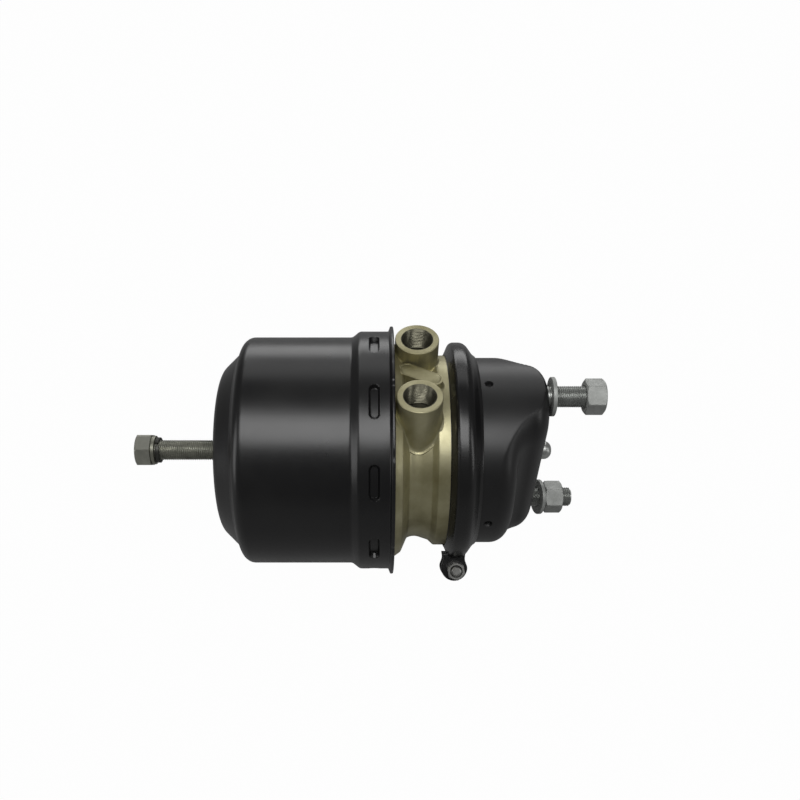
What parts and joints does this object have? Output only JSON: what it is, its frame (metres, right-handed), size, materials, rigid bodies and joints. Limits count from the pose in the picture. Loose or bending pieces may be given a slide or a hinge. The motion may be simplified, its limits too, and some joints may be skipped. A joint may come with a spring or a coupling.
{
  "type": "air brake chamber",
  "caption": "Air brake chamber for a disc brake: domed spring housing, cast flange with ports, clamp ring and service housing with mounting studs and a push rod.",
  "frame": {"origin": "centre of the mounting face, which lies against the brake caliper, on the chamber's axis", "axes": "+X runs along the chamber's axis towards the brake, out of the mounting face; +Z points to the ports"},
  "size_m": [0.3619, 0.1966, 0.1966],
  "materials": {
    "black_paint": "satin black paint",
    "chromated_aluminium": "cast, yellow chromated",
    "flaked_zinc": "grey zinc flake",
    "bright_zinc": "bright zinc",
    "dark_steel": "phosphated spring steel",
    "cast_piston": "die cast",
    "rubber": "moulded",
    "pale_plastic": "moulded nylon"
  },
  "bodies": {
    "chamber": {"spring_housing": "black_paint", "centre_flange": "chromated_aluminium", "service_housing": "black_paint", "clamp_ring": "black_paint", "clamp_bolt": "bright_zinc", "clamp_nut": "bright_zinc", "upper_mounting_stud": "flaked_zinc", "lower_mounting_stud": "flaked_zinc", "upper_stud_washer": "flaked_zinc", "lower_stud_washer": "flaked_zinc", "upper_stud_nut": "flaked_zinc", "lower_stud_nut": "flaked_zinc", "diaphragm": "rubber", "flange_sealing_ring": "rubber", "tube_guide_bush": "pale_plastic", "tube_seals": "rubber", "release_nut": "bright_zinc", "release_dust_ring": "pale_plastic", "boot_retaining_ring": "bright_zinc", "power_spring": "dark_steel", "return_spring": "dark_steel", "rod_boot": "rubber"},
    "piston_and_tube": {"parking_piston": "cast_piston", "piston_seal": "rubber", "piston_guide_ring": "pale_plastic", "push_tube": "bright_zinc", "push_tube_end_pad": "pale_plastic"},
    "release_bolt": {"release_bolt": "bright_zinc", "release_bolt_washer": "bright_zinc", "release_bolt_spring_washer": "dark_steel", "release_bolt_catch": "bright_zinc"},
    "push_rod": {"push_plate": "bright_zinc", "push_rod": "bright_zinc"}
  },
  "joints": [
    {"name": "parking_piston_slide", "type": "slide", "parent": "chamber", "child": "piston_and_tube", "axis": [1, 0, 0], "range_m": [0, 0.054], "deforming": ["power_spring"]},
    {"name": "release_bolt_turn", "type": "hinge", "parent": "piston_and_tube", "child": "release_bolt", "pos_m": [-0.28, 0, 0], "axis": [1, 0, 0], "range_deg": [0, 12960]},
    {"name": "push_rod_slide", "type": "slide", "parent": "chamber", "child": "push_rod", "axis": [1, 0, 0], "range_m": [0, 0.054], "deforming": ["return_spring", "diaphragm", "rod_boot"]}
  ],
  "couplings": [
    {"joint": "release_bolt_turn", "follows": "parking_piston_slide", "rad_per_m": 4188.8},
    {"joint": "push_rod_slide", "follows": "parking_piston_slide", "ratio": 1}
  ]
}
